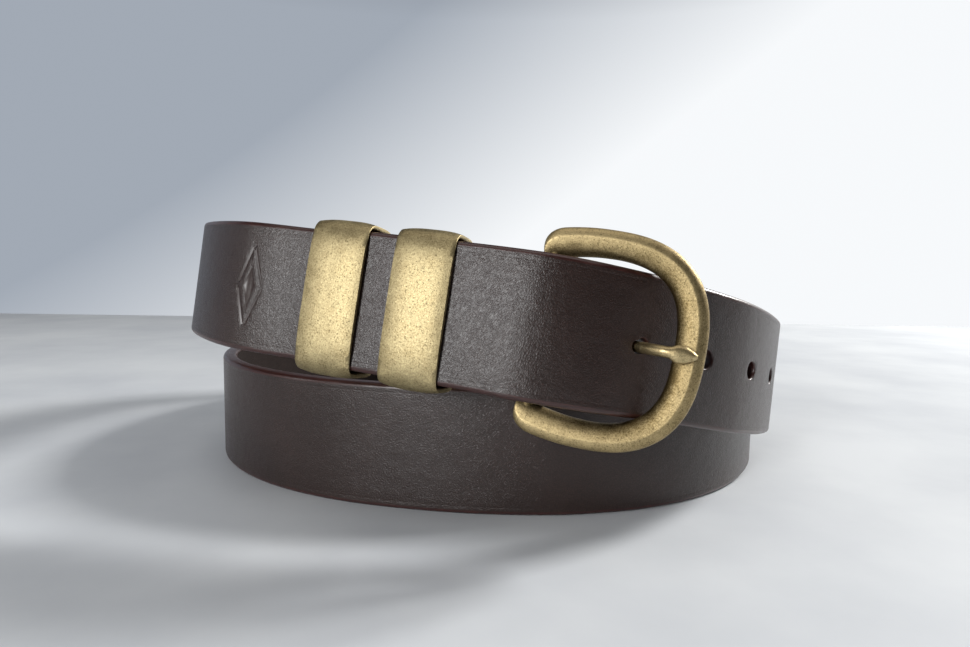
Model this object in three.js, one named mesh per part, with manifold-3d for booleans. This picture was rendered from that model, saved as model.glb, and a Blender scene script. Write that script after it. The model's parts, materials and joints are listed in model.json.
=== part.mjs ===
// Leather dress belt, buckled in its last hole and wound into a two-turn coil standing on edge.
// Millimetres, +Z up. The coil rests on z = 0 and its front, with the buckle, faces -Y.
import * as THREE from 'three';
import { mergeVertices } from 'three/addons/utils/BufferGeometryUtils.js';
import Module from 'manifold-3d';

const wasm = await Module();
wasm.setup();

// ---- Driving dimensions -------------------------------------------------------------------
const STRAP_WIDTH = 32;
const STRAP_THICKNESS = 4.2;
const EDGE_BEVEL = 1.1;
const LAYER_GAP = 0.6; // between the tip end and the buckle end that it lies on
const FIT_GAP = 0.3; // between pieces that touch on the real belt
const CUT_MARGIN = 1; // how far a cutter stands out of the leather
const ROUND_SIDES = 20; // of holes, posts and screws

const SKIVED_THICKNESS = 2.6; // leather thinned so that it folds round the heel bar
const SKIVE_START = 18; // distance from the heel bar where the thinning begins
const SKIVE_END = 4; // and where it is finished
const SLOT_BEHIND_BAR = 8; // prong slot, from the bar to its closed end
const SLOT_SIDE_GAP = 0.6; // each side of the prong's eye
const SLOT_PAST_FOLD = 0.25;
const FLAP_LENGTH = 42; // turned-back end, measured from the heel bar
const FLAP_CLOSED_AT = 12; // distance from the bar where flap and strap lie together

const TIP_LENGTH = 52; // free end beyond the heel bar
const TIP_DEPTH = -(STRAP_THICKNESS + LAYER_GAP); // the free end lies outside the buckle end
const TIP_POINT_LENGTH = 13;
const TIP_BULGE_BACK = 1.5; // control point of the tip's curve
const TIP_BULGE_ASIDE = 0.62; // as a share of the cutter's half width
const TIP_CURVE_STEPS = 6;
const TIP_CUTTER_BELOW = 0.24; // less than the gap, so that the layer below stays whole
const HOLE_RADIUS = 2.15;
const HOLE_SPACING = 19.2;
const HOLE_COUNT = 5;
const FIRST_HOLE_FROM_BAR = 25.5; // the hole that holds the prong

const BAR_RADIUS = 2;
const BAR_SIDES = 16;
const FRAME_HEIGHT = 48.4; // outside, across the strap
const FRAME_WIDTH = 6.3; // width of the rim at the front bar
const FRAME_ARM_WIDTH = 5.9;
const FRAME_THICKNESS = 4.3;
const FRAME_FRONT = 32.3; // heel bar to the middle of the front bar
const FRAME_ARM_STRAIGHT = 11; // heel bar to the start of the front curve
const FRAME_ARM_END = -3.2; // round end of each arm, behind the heel bar
const FRAME_ARM_CLOSING = 1.3; // how far the arms close in towards their ends
const FRAME_ROUNDNESS = 2.7; // exponent of the horseshoe's superellipse
const FRAME_TURN = 3.8; // frame against the strap behind the bar, degrees
const FRAME_CURVE_STEPS = 11; // of each half of the front curve
const ARM_KNOTS = [FRAME_ARM_END, FRAME_ARM_END + 0.9, FRAME_ARM_END + 2.6, 1, 6];
const ARM_END_SCALES = [0.4, 0.74, 0.92, 0.97]; // of the section, from the arm's end on

// Rim section: through the thickness as a share of its half, and out from the middle of the width.
const RIM_SECTION = [
  [-0.85, -0.3], [-0.85, 0.3], [-0.4, 0.5], [0.35, 0.5], [1, 0.17], [0.75, -0.2], [0.1, -0.5],
  [-0.5, -0.5],
];

const PRONG_THICKNESS = 2.5;
const PRONG_EYE_THICKNESS = 1.5;
const PRONG_EYE_WIDTH = 4.2;
const PRONG_EYE_FROM = -40; // degrees round the heel bar
const PRONG_EYE_TO = -270;
const PRONG_EYE_STEP = 23;
const PRONG_RINGS = 60;
const PRONG_SIDES = 8;

// The prong's shaft in the buckle's x and z, and its width along x with the spade-shaped head.
const PRONG_SHAFT = [
  [3.5, 2.3], [7, 0.8], [11, -0.9], [15, -2.2], [18.8, -2.4], [21.3, -1.1], [23, 0.9],
  [24.6, 2.8], [26.4, 3.9], [28.4, 4.2], [30.4, 4.1], [32, 4.0], [33.4, 3.9],
];
const PRONG_WIDTHS = [
  [0, PRONG_EYE_WIDTH], [5, 3], [8, 2.5], [27.6, 2.5], [29.2, 3.9], [31, 3.7], [33.4, 0.9],
];
const PRONG_FULL_THICKNESS_AT = 9;
const PRONG_POINT_THICKNESS = 1.2; // most thickness for its width

// The leather gives way to the prong, grown by the clearance, at each of these turns in degrees.
const PRONG_CLEARANCE = 0.35;
const PRONG_CLEARANCE_TURNS = [-0.6, 0.4, 1.4, 2.4, 3.4, 4.2];
const PRONG_CLEARANCE_RINGS = 40;
const PRONG_CLEARANCE_SIZE = [12, 10, 12]; // box round the stretch that crosses the leather
const PRONG_CLEARANCE_MIDDLE = [20, 0, 2];

const KEEPER_LENGTH = 14; // along the strap
const KEEPER_STRIP = 1.7;
const KEEPER_BEVEL = 0.4;
const KEEPER_INNER_DEPTH = 12.9;
const KEEPER_FACE_GAP = 0.4; // between the keeper and the grain face under it
const KEEPER_SLACK = 0.7; // each side of the strap's edges
const KEEPER_CORNER = 6; // outer radius
const KEEPER_INNER_CORNER = 2.2;
const KEEPER_CORNER_STEPS = 5;
const KEEPER_NEAR_FROM_BAR = 26.1;
const KEEPER_FAR_FROM_BAR = 47.0;

const SCREW_HEAD_RADIUS = 2.9;
const SCREW_HEAD_HEIGHT = 0.9;
const SCREW_HEAD_INSET = 0.6;
const SCREW_HEAD_EDGE = [0.5, 0.4]; // radius and height that the edge of the head loses
const SCREW_SLOT_SIZE = [1, 7, 0.9]; // longer than the head, half of its height in the head
const POST_HEAD_EDGE = [0.6, 0.3];
const POST_RADIUS = 2.2;
const POST_BORE_RADIUS = 1.5;
const POST_BORE_ROOF = 1.6; // metal left between the bore and the seat of the head
const POST_PAST_FLAP = 0.05;
const SHANK_RADIUS = 1.15;
const SHANK_END = 2.4; // from the seat of the post's head
const SCREWS_FROM_BAR = [14, 36.9];

// The straight stretch behind the heel bar, which both ends of the strap and the keepers share.
const BAR_POINT = new THREE.Vector3(9.5, -104.2, 48.5); // grain face over the heel bar
const STACK_HEADING = -16.8; // degrees from +X, seen from above
const STACK_SLOPE = 5.6;
const BAR_SLOPE = 8; // slope of the strap where it folds
const SLOPE_BLEND = 14; // distance over which the slope changes
const STACK_LEAN = -8; // top edge towards the middle of the coil
const STACK_LENGTH = 76;

// The lower turn is a superellipse, seen from above.
const LOWER_HALF_X = 91.7;
const LOWER_HALF_Y = 87.6;
const LOWER_EXPONENT = 2.25;
const LOWER_ROTATION = -8.9;

// Grain face at the middle of the width: angle round the coil, radius, height, lean.
// The strap runs from its tip over the heel bar, down the right side and round the lower turn,
// climbs inside the right side, crosses over the lower turn at the back and comes to the fold.
const UPPER_RIGHT = [
  [282, 109.9, 46.8, -5.5],
  [290, 108.5, 43.9, -2.5],
  [305, 107.0, 37.6, 1.5],
  [320, 102.2, 32.0, 3],
  [335, 97.8, 27.8, 3],
  [350, 97.0, 24.3, 3],
  [365, 97.6, 21.0, 3],
  [380, 98.2, 18.0, 2],
  [395, 98.0, 16.4, 1],
  [410, 97.0, 16, 0],
  [430, 95.0, 16, 0],
  [450, 93.4, 16, 0],
  [470, 92.6, 16, 0],
  [490, 92.6, 16, 0],
  [510, 92.6, 16, 0],
];
const LOWER_FIRST = 525;
const LOWER_LAST = 705;
const LOWER_STEP = 15;
const LOWER_LIFT_FROM = 660; // the turn leaves the table gently here
const LOWER_LIFT = 0.9;
const CLIMB = [
  [720, 92.0, 19.2, 0],
  [740, 91.2, 22.6, 0],
  [755, 90.0, 26.3, 0],
  [770, 88.6, 30.8, 0],
  [785, 87.3, 35.6, 0],
  [800, 86.4, 40.6, 0],
  [815, 86.2, 45.6, 0],
  [827, 87.0, 48.7, -1],
  [840, 89.5, 50.7, -1],
  [855, 92.3, 52.2, -2],
  [870, 93.6, 53.5, -3],
  [885, 94.0, 55.0, -4],
  [905, 95.0, 56.4, -6],
  [920, 98.0, 57.2, -7],
  [935, 102.0, 57.3, -8.5],
];

const STRAIGHT_KNOTS = [1, 0.75, 0.5, 0.25, 0]; // shares of a straight stretch
const FOLD_KNOTS = [30, 60, 90, 120, 150, 180]; // degrees round the heel bar
const FLAP_KNOTS = [3, 6.5, 10, FLAP_CLOSED_AT, 18, 26, 34, FLAP_LENGTH]; // from the heel bar

const ROUTE_SAMPLES = 60; // from knot to knot
const RING_LENGTH = 7; // greatest distance between cross-sections of the strap
const RING_TURN = 6; // greatest turn between cross-sections, degrees
const SAME_POINT = 1e-4; // vertices closer than this are one

// ---- Directions ---------------------------------------------------------------------------
const UP = new THREE.Vector3(0, 0, 1);
const radians = THREE.MathUtils.degToRad;

/** Frame from a direction along the strap and a wish for its across direction. */
function makeFrame(origin, along, acrossWish) {
  const forward = along.clone().normalize();
  const across = acrossWish.clone().addScaledVector(forward, -acrossWish.dot(forward)).normalize();
  const out = new THREE.Vector3().crossVectors(forward, across);
  return { origin: origin.clone(), along: forward, across, out };
}

/** Across direction at a bearing round the coil, leaning outwards by lean degrees. */
function leaning(bearing, lean) {
  const outwards = new THREE.Vector3(Math.cos(radians(bearing)), Math.sin(radians(bearing)), 0);
  const upright = UP.clone().multiplyScalar(Math.cos(radians(lean)));
  return upright.addScaledVector(outwards, Math.sin(radians(lean)));
}

/** Frame of the straight stretch, at a distance behind the heel bar and a depth inwards. */
function stackFrame(distance, depth = 0) {
  const nearBar = Math.max(0, 1 - distance / SLOPE_BLEND);
  const steep = Math.tan(radians(BAR_SLOPE)) - Math.tan(radians(STACK_SLOPE));
  const slope = Math.tan(radians(STACK_SLOPE)) + steep * nearBar;
  const rise = distance * Math.tan(radians(STACK_SLOPE))
    + (steep * SLOPE_BLEND * (1 - nearBar * nearBar)) / 2;
  const heading = radians(STACK_HEADING);
  const plan = new THREE.Vector3(Math.cos(heading), Math.sin(heading), 0);
  const origin = BAR_POINT.clone().addScaledVector(plan, -distance).addScaledVector(UP, rise);
  const along = plan.clone().addScaledVector(UP, -slope);
  const frame = makeFrame(origin, along, leaning(STACK_HEADING - 90, STACK_LEAN));
  frame.origin.addScaledVector(frame.out, -depth);
  return frame;
}

function lowerRadius(angle) {
  const turned = radians(angle - LOWER_ROTATION);
  const x = Math.abs(Math.cos(turned) / LOWER_HALF_X) ** LOWER_EXPONENT;
  const y = Math.abs(Math.sin(turned) / LOWER_HALF_Y) ** LOWER_EXPONENT;
  return (x + y) ** (-1 / LOWER_EXPONENT);
}

// ---- The strap's route --------------------------------------------------------------------
/** Knots of the route: a point on the grain face, and the wish for the across direction. */
function strapKnots() {
  const knots = [];
  const addStack = (distance, depth) => {
    const frame = stackFrame(distance, depth);
    knots.push({ point: frame.origin, across: frame.across });
  };
  const addPolar = ([angle, radius, height, lean]) => {
    const point = new THREE.Vector3(radius, 0, height).applyAxisAngle(UP, radians(angle));
    knots.push({ point, across: leaning(angle, lean) });
  };

  for (const part of STRAIGHT_KNOTS) addStack(TIP_LENGTH * part, TIP_DEPTH);
  UPPER_RIGHT.forEach(addPolar);
  for (let angle = LOWER_FIRST; angle <= LOWER_LAST; angle += LOWER_STEP) {
    const lift = Math.max(0, (angle - LOWER_LIFT_FROM) / (LOWER_LAST - LOWER_LIFT_FROM)) ** 2;
    addPolar([angle, lowerRadius(angle), STRAP_WIDTH / 2 + LOWER_LIFT * lift, 0]);
  }
  CLIMB.forEach(addPolar);
  for (const part of STRAIGHT_KNOTS) addStack(STACK_LENGTH * part, 0);

  // Round the heel bar and back along the inside.
  const bar = heelBar();
  for (const angle of FOLD_KNOTS) {
    const arm = new THREE.Vector3().addScaledVector(bar.out, Math.cos(radians(angle)));
    arm.addScaledVector(bar.along, Math.sin(radians(angle)));
    const point = bar.origin.clone().addScaledVector(arm, foldRadius());
    knots.push({ point, across: bar.across });
  }
  for (const distance of FLAP_KNOTS) {
    const closing = THREE.MathUtils.smoothstep(distance, 0, FLAP_CLOSED_AT);
    addStack(distance, THREE.MathUtils.lerp(2 * foldRadius(), flapDepth(), closing));
  }
  return knots;
}

function foldRadius() {
  return BAR_RADIUS + FIT_GAP + SKIVED_THICKNESS;
}

function flapDepth() {
  return STRAP_THICKNESS + FIT_GAP + SKIVED_THICKNESS;
}

/** Frame on the heel bar's axis: along the strap, across it and outwards. */
function heelBar() {
  const frame = stackFrame(0);
  frame.origin.addScaledVector(frame.out, -foldRadius());
  return frame;
}

/** Frames along the whole strap, close together where it turns sharply. */
function strapFrames() {
  const knots = strapKnots();
  const route = new THREE.CatmullRomCurve3(knots.map((knot) => knot.point), false, 'centripetal');
  const lean = new THREE.CatmullRomCurve3(knots.map((knot) => knot.across), false, 'catmullrom');
  const samples = (knots.length - 1) * ROUTE_SAMPLES;
  const frames = [];
  let cost = 0;
  let length = 0;
  let last = null;
  for (let i = 0; i <= samples; i += 1) {
    const t = i / samples;
    const frame = makeFrame(route.getPoint(t), route.getTangent(t), lean.getPoint(t));
    if (last) {
      const step = frame.origin.distanceTo(last.origin);
      length += step;
      cost += step / RING_LENGTH;
      cost += THREE.MathUtils.radToDeg(frame.along.angleTo(last.along)) / RING_TURN;
    }
    frame.length = length;
    last = frame;
    if (frames.length === 0 || cost >= 1 || i === samples) {
      frames.push(frame);
      cost = 0;
    }
  }
  const flapStart = length - FLAP_LENGTH - Math.PI * foldRadius();
  for (const frame of frames) {
    const beforeBar = flapStart - frame.length;
    const thin = 1 - THREE.MathUtils.smoothstep(beforeBar, SKIVE_END, SKIVE_START);
    frame.thickness = THREE.MathUtils.lerp(STRAP_THICKNESS, SKIVED_THICKNESS, thin);
  }
  return frames;
}

// ---- Solids -------------------------------------------------------------------------------
/** Lays a straight extrusion of the outline along frames: x goes across, y goes outwards. */
function sweep(outline, frames, place) {
  const steps = frames.length - 1;
  const shape = new THREE.Shape(outline);
  const geometry = new THREE.ExtrudeGeometry(shape, { depth: steps, steps, bevelEnabled: false });
  const position = geometry.attributes.position;
  const point = new THREE.Vector3();
  for (let i = 0; i < position.count; i += 1) {
    const frame = frames[Math.round(position.getZ(i))];
    const [x, y] = place(position.getX(i), position.getY(i), frame);
    point.copy(frame.origin).addScaledVector(frame.across, x).addScaledVector(frame.out, y);
    position.setXYZ(i, point.x, point.y, point.z);
  }
  return closed(geometry);
}

/** The same geometry with only shared positions left. */
function closed(geometry) {
  const bare = geometry.clone();
  for (const name of Object.keys(bare.attributes)) {
    if (name !== 'position') bare.deleteAttribute(name);
  }
  return mergeVertices(bare, SAME_POINT);
}

function toSolid(geometry) {
  const merged = closed(geometry);
  return new wasm.Manifold(new wasm.Mesh({
    numProp: 3,
    vertProperties: new Float32Array(merged.attributes.position.array),
    triVerts: new Uint32Array(merged.index.array),
  }));
}

function toGeometry(solid) {
  const mesh = solid.getMesh();
  const geometry = new THREE.BufferGeometry();
  geometry.setAttribute('position', new THREE.BufferAttribute(mesh.vertProperties, 3));
  geometry.setIndex(new THREE.BufferAttribute(mesh.triVerts, 1));
  return geometry;
}

/** One geometry joined with some and cut by others. */
function shapeBy(geometry, { joined = [], cut = [] }) {
  let solid = toSolid(geometry);
  for (const other of joined) solid = solid.add(toSolid(other));
  for (const other of cut) solid = solid.subtract(toSolid(other));
  return toGeometry(solid);
}

/** Matrix that takes local x, y, z to a frame's along, across and out. */
function frameMatrix(frame) {
  const matrix = new THREE.Matrix4().makeBasis(frame.along, frame.across, frame.out);
  return matrix.setPosition(frame.origin);
}

function mesh(name, geometry, material) {
  const piece = new THREE.Mesh(geometry, material);
  piece.name = name;
  geometry.computeVertexNormals();
  return piece;
}

function placedGroup(frame) {
  const group = new THREE.Group();
  frameMatrix(frame).decompose(group.position, group.quaternion, group.scale);
  return group;
}

// ---- Strap --------------------------------------------------------------------------------
/** Section with bevelled edges; y = 0 is the grain face and y = -1 the flesh face. */
function strapOutline() {
  const half = STRAP_WIDTH / 2;
  const bevel = EDGE_BEVEL / STRAP_THICKNESS;
  return [
    [-half, -bevel], [-half, bevel - 1], [EDGE_BEVEL - half, -1], [half - EDGE_BEVEL, -1],
    [half, bevel - 1], [half, -bevel], [half - EDGE_BEVEL, 0], [EDGE_BEVEL - half, 0],
  ].map(([x, y]) => new THREE.Vector2(x, y));
}

/** Round cutter through one layer of leather, its axis square to the grain face. */
function holeCutter(frame, radius, top, bottom) {
  const cutter = new THREE.CylinderGeometry(radius, radius, top - bottom, ROUND_SIDES);
  cutter.rotateX(Math.PI / 2);
  cutter.translate(0, 0, (top + bottom) / 2);
  return cutter.applyMatrix4(frameMatrix(frame));
}

/** Trims the free end to a blunt point. */
function tipCutters() {
  const half = STRAP_WIDTH / 2 + CUT_MARGIN;
  const depth = STRAP_THICKNESS + 2 * FIT_GAP;
  const frame = stackFrame(TIP_LENGTH, TIP_DEPTH);
  return [-1, 1].map((side) => {
    const shape = new THREE.Shape();
    shape.moveTo(-CUT_MARGIN, 0);
    shape.quadraticCurveTo(
      TIP_BULGE_BACK, side * half * TIP_BULGE_ASIDE, TIP_POINT_LENGTH, side * half,
    );
    shape.lineTo(-CUT_MARGIN, side * half);
    shape.closePath();
    const cutter = new THREE.ExtrudeGeometry(shape, {
      depth,
      bevelEnabled: false,
      curveSegments: TIP_CURVE_STEPS,
    });
    cutter.translate(0, 0, -STRAP_THICKNESS - TIP_CUTTER_BELOW);
    return cutter.applyMatrix4(frameMatrix(frame));
  });
}

/** Slot in the fold that lets the prong turn on the heel bar. */
function foldSlotCutter() {
  const width = PRONG_EYE_WIDTH + 2 * SLOT_SIDE_GAP;
  const reach = foldRadius() + SLOT_PAST_FOLD;
  const shape = new THREE.Shape();
  shape.moveTo(-SLOT_BEHIND_BAR, -reach);
  shape.lineTo(0, -reach);
  shape.absarc(0, 0, reach, -Math.PI / 2, Math.PI / 2, false);
  shape.lineTo(-SLOT_BEHIND_BAR, reach);
  shape.closePath();
  const slot = new THREE.ExtrudeGeometry(shape, { depth: width, bevelEnabled: false });
  slot.translate(0, 0, -width / 2).rotateX(Math.PI / 2);
  return slot.applyMatrix4(frameMatrix(heelBar()));
}

function frameAt(frames, length) {
  const after = frames.findIndex((frame) => frame.length >= length);
  const a = frames[after - 1];
  const b = frames[after];
  const part = (length - a.length) / (b.length - a.length);
  return makeFrame(
    a.origin.clone().lerp(b.origin, part),
    a.along.clone().lerp(b.along, part),
    a.across.clone().lerp(b.across, part),
  );
}

function makeStrap(frames, prongCutters) {
  const strap = sweep(strapOutline(), frames, (x, y, frame) => [x, y * frame.thickness]);
  const cut = [...tipCutters(), foldSlotCutter(), ...prongCutters];
  for (let i = 0; i < HOLE_COUNT; i += 1) {
    const frame = frameAt(frames, TIP_LENGTH + FIRST_HOLE_FROM_BAR + i * HOLE_SPACING);
    cut.push(holeCutter(frame, HOLE_RADIUS, CUT_MARGIN, -STRAP_THICKNESS - LAYER_GAP));
  }
  for (const distance of SCREWS_FROM_BAR) {
    const frame = stackFrame(distance);
    cut.push(holeCutter(frame, POST_RADIUS + FIT_GAP, LAYER_GAP / 2, -flapDepth() - LAYER_GAP));
    cut.push(holeCutter(frame, SCREW_HEAD_RADIUS + FIT_GAP, LAYER_GAP / 2, -SCREW_HEAD_HEIGHT));
  }
  return shapeBy(strap, { cut });
}

// ---- Buckle -------------------------------------------------------------------------------
/** Frame of the cast buckle: origin on the heel bar, x to the front bar, y up, z outwards. */
function buckleFrame() {
  const bar = heelBar();
  const along = bar.along.clone().applyAxisAngle(bar.across, radians(FRAME_TURN));
  return makeFrame(bar.origin, along, bar.across);
}

/** Distance of an arm's middle line from the middle of the frame. */
function armOffset(x) {
  const closing = FRAME_ARM_CLOSING * ((FRAME_ARM_STRAIGHT - x) / FRAME_ARM_STRAIGHT) ** 2;
  return (FRAME_HEIGHT - FRAME_ARM_WIDTH) / 2 - closing;
}

/** Middle line of half the horseshoe rim, from the round end of an arm to the front bar. */
function rimHalf() {
  const half = (FRAME_HEIGHT - FRAME_ARM_WIDTH) / 2;
  const points = ARM_KNOTS.map((x) => [x, armOffset(x)]);
  const reach = FRAME_FRONT - FRAME_ARM_STRAIGHT;
  for (let i = 0; i <= FRAME_CURVE_STEPS; i += 1) {
    const angle = (Math.PI / 2) * (1 - i / FRAME_CURVE_STEPS);
    const x = FRAME_ARM_STRAIGHT + reach * Math.cos(angle) ** (2 / FRAME_ROUNDNESS);
    points.push([x, half * Math.sin(angle) ** (2 / FRAME_ROUNDNESS)]);
  }
  return points;
}

/** Frames round the whole rim, from the end of the lower arm to that of the upper arm. */
function rimFrames() {
  const upper = rimHalf();
  const lower = upper.slice(0, -1).map(([x, y]) => [x, -y]);
  const points = [...lower, ...upper.reverse()].map(([x, y]) => new THREE.Vector3(x, y, 0));
  const last = points.length - 1;
  return points.map((point, i) => {
    const along = points[Math.min(last, i + 1)].clone().sub(points[Math.max(0, i - 1)]);
    const scale = ARM_END_SCALES[Math.min(i, last - i)] ?? 1;
    const frontness = Math.max(0, point.x / FRAME_FRONT) ** 2;
    const width = THREE.MathUtils.lerp(FRAME_ARM_WIDTH, FRAME_WIDTH, frontness);
    return { ...makeFrame(point, along, UP), scale, width };
  });
}

/** Rim section: x goes through the thickness, y out from the middle for a width of 1. */
function rimOutline() {
  return RIM_SECTION.map(([x, y]) => new THREE.Vector2((x * FRAME_THICKNESS) / 2, y));
}

function makeBuckleFrame() {
  const rim = sweep(rimOutline(), rimFrames(), (x, y, { scale, width }) => [
    x * scale, y * scale * width,
  ]);
  const bar = new THREE.CylinderGeometry(BAR_RADIUS, BAR_RADIUS, 2 * armOffset(0), BAR_SIDES);
  return shapeBy(rim, { joined: [bar] });
}

/** Middle line of the prong in the buckle's x and z: the eye round the bar, then the shaft. */
function prongPoints() {
  const eye = BAR_RADIUS + FIT_GAP + PRONG_EYE_THICKNESS / 2;
  const points = [];
  for (let angle = PRONG_EYE_FROM; angle >= PRONG_EYE_TO; angle -= PRONG_EYE_STEP) {
    points.push([eye * Math.cos(radians(angle)), eye * Math.sin(radians(angle))]);
  }
  return [...points, ...PRONG_SHAFT].map(([x, z]) => new THREE.Vector3(x, 0, z));
}

/** Width and thickness of the prong along its x, with the spade-shaped head at its end. */
function prongSection(x, inEye) {
  if (inEye) return [PRONG_EYE_WIDTH, PRONG_EYE_THICKNESS];
  const after = Math.max(1, PRONG_WIDTHS.findIndex(([place]) => place >= x));
  const [x0, w0] = PRONG_WIDTHS[after - 1];
  const [x1, w1] = PRONG_WIDTHS[after];
  const width = THREE.MathUtils.lerp(w0, w1, (x - x0) / (x1 - x0));
  const full = Math.min(1, x / PRONG_FULL_THICKNESS_AT);
  const thickness = THREE.MathUtils.lerp(PRONG_EYE_THICKNESS, PRONG_THICKNESS, full);
  return [width, Math.min(thickness, width * PRONG_POINT_THICKNESS)];
}

function makeProng(grow = 0, turn = 0) {
  const points = prongPoints();
  const route = new THREE.CatmullRomCurve3(points, false, 'centripetal');
  const frames = [];
  const steps = grow > 0 ? PRONG_CLEARANCE_RINGS : PRONG_RINGS;
  for (let i = 0; i <= steps; i += 1) {
    const place = route.getPoint(i / steps);
    const inEye = i / steps < (points.length - PRONG_SHAFT.length) / (points.length - 1);
    const frame = makeFrame(place, route.getTangent(i / steps), new THREE.Vector3(0, 1, 0));
    frames.push({ ...frame, size: prongSection(Math.max(0, place.x), inEye) });
  }
  const outline = [];
  for (let i = 0; i < PRONG_SIDES; i += 1) {
    const angle = (2 * Math.PI * (i + 0.5)) / PRONG_SIDES;
    outline.push(new THREE.Vector2(Math.cos(angle), Math.sin(angle)));
  }
  const prong = sweep(outline, frames, (x, y, { size }) => [
    x * (size[0] / 2 + grow), y * (size[1] / 2 + grow),
  ]);
  return prong.rotateY(-turn);
}

/** The prong at rest and lifted, grown by the fit gap: what the leather round it gives way to. */
function prongClearance() {
  const matrix = frameMatrix(buckleFrame());
  const box = new THREE.BoxGeometry(...PRONG_CLEARANCE_SIZE).translate(...PRONG_CLEARANCE_MIDDLE);
  return PRONG_CLEARANCE_TURNS.map((turn) => {
    const grown = toSolid(makeProng(PRONG_CLEARANCE, radians(turn)));
    return toGeometry(grown.intersect(toSolid(box))).applyMatrix4(matrix);
  });
}

// ---- Keepers and screws -------------------------------------------------------------------
function roundedRectangle(halfX, low, high, radius, target) {
  const corner = (x, y, start) => target.absarc(x, y, radius, start, start + Math.PI / 2, false);
  target.moveTo(halfX, low + radius);
  corner(halfX - radius, high - radius, 0);
  corner(radius - halfX, high - radius, Math.PI / 2);
  corner(radius - halfX, low + radius, Math.PI);
  corner(halfX - radius, low + radius, 1.5 * Math.PI);
  return target;
}

/** Bent strip loop: local x across the strap, y outwards, extruded along the strap. */
function makeKeeper() {
  const halfInner = STRAP_WIDTH / 2 + KEEPER_SLACK;
  const half = halfInner + KEEPER_STRIP;
  const low = -KEEPER_INNER_DEPTH / 2;
  const high = KEEPER_INNER_DEPTH / 2;
  const shape = new THREE.Shape();
  roundedRectangle(half, low - KEEPER_STRIP, high + KEEPER_STRIP, KEEPER_CORNER, shape);
  shape.holes.push(roundedRectangle(halfInner, low, high, KEEPER_INNER_CORNER, new THREE.Path()));
  const bevel = KEEPER_BEVEL;
  const geometry = new THREE.ExtrudeGeometry(shape, {
    depth: KEEPER_LENGTH - 2 * bevel,
    curveSegments: KEEPER_CORNER_STEPS,
    bevelThickness: bevel,
    bevelSize: bevel,
    bevelOffset: -bevel,
    bevelSegments: 1,
  });
  geometry.translate(0, 0, bevel - KEEPER_LENGTH / 2);
  // Local x, y and z of the extrusion become across, out and along.
  const axes = new THREE.Matrix4().makeBasis(
    new THREE.Vector3(0, 1, 0),
    new THREE.Vector3(0, 0, 1),
    new THREE.Vector3(1, 0, 0),
  );
  return closed(geometry.applyMatrix4(axes));
}

/** Female half of the screw: a low head, and a barrel with a blind bore. */
function makePost() {
  const top = SCREW_HEAD_HEIGHT - SCREW_HEAD_INSET;
  const seat = -SCREW_HEAD_INSET;
  const roof = seat - POST_BORE_ROOF;
  const end = -flapDepth() - POST_PAST_FLAP;
  const [edgeRadius, edgeHeight] = POST_HEAD_EDGE;
  return lathe([
    [0, top], [0, roof], [POST_BORE_RADIUS, roof], [POST_BORE_RADIUS, end],
    [POST_RADIUS, end], [POST_RADIUS, seat], [SCREW_HEAD_RADIUS, seat],
    [SCREW_HEAD_RADIUS, top - edgeHeight], [SCREW_HEAD_RADIUS - edgeRadius, top],
  ]);
}

/** Male half: a slotted head on the inside of the belt, and a shank. */
function makeScrew() {
  const seat = -flapDepth() - FIT_GAP - POST_PAST_FLAP;
  const end = -SCREW_HEAD_INSET - SHANK_END;
  const back = seat - SCREW_HEAD_HEIGHT;
  const [edgeRadius, edgeHeight] = SCREW_HEAD_EDGE;
  const profile = [
    [0, end], [0, back], [SCREW_HEAD_RADIUS - edgeRadius, back],
    [SCREW_HEAD_RADIUS, back + edgeHeight], [SCREW_HEAD_RADIUS, seat], [SHANK_RADIUS, seat],
    [SHANK_RADIUS, end],
  ];
  const slot = new THREE.BoxGeometry(...SCREW_SLOT_SIZE).translate(0, 0, back);
  return shapeBy(lathe(profile), { cut: [slot] });
}

/** Turns a closed [radius, height] profile about local z. */
function lathe(profile) {
  const outline = profile.map(([radius, height]) => new THREE.Vector2(radius, height));
  outline.push(outline[0].clone());
  const geometry = new THREE.LatheGeometry(outline, ROUND_SIDES).rotateX(Math.PI / 2);
  const solid = closed(geometry);
  if (signedVolume(solid) < 0) flipFaces(solid);
  return solid;
}

function signedVolume(geometry) {
  const position = geometry.attributes.position;
  const [a, b, c] = [0, 1, 2].map(() => new THREE.Vector3());
  let volume = 0;
  for (let i = 0; i < geometry.index.count; i += 3) {
    a.fromBufferAttribute(position, geometry.index.getX(i));
    b.fromBufferAttribute(position, geometry.index.getX(i + 1));
    c.fromBufferAttribute(position, geometry.index.getX(i + 2));
    volume += a.dot(b.cross(c)) / 6;
  }
  return volume;
}

function flipFaces(geometry) {
  const index = geometry.index;
  for (let i = 0; i < index.count; i += 3) {
    const second = index.getX(i + 1);
    index.setX(i + 1, index.getX(i + 2));
    index.setX(i + 2, second);
  }
}

// ---- Assembly -----------------------------------------------------------------------------
const leather = new THREE.MeshStandardMaterial({ color: 0x2c1a16, roughness: 0.45, metalness: 0 });
const brass = new THREE.MeshStandardMaterial({ color: 0x9c8450, roughness: 0.38, metalness: 1 });

const belt = new THREE.Group();
belt.add(mesh('leather_strap', makeStrap(strapFrames(), prongClearance()), leather));

const buckle = placedGroup(buckleFrame());
buckle.add(mesh('buckle_frame', makeBuckleFrame(), brass));
buckle.add(mesh('prong', makeProng(), brass));
belt.add(buckle);

const keeperDepth = KEEPER_INNER_DEPTH / 2 - STRAP_THICKNESS - LAYER_GAP - KEEPER_FACE_GAP;
const keepers = { keeper_near: KEEPER_NEAR_FROM_BAR, keeper_far: KEEPER_FAR_FROM_BAR };
for (const [name, distance] of Object.entries(keepers)) {
  const group = placedGroup(stackFrame(distance, keeperDepth));
  group.add(mesh(name, makeKeeper(), brass));
  belt.add(group);
}

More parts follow.
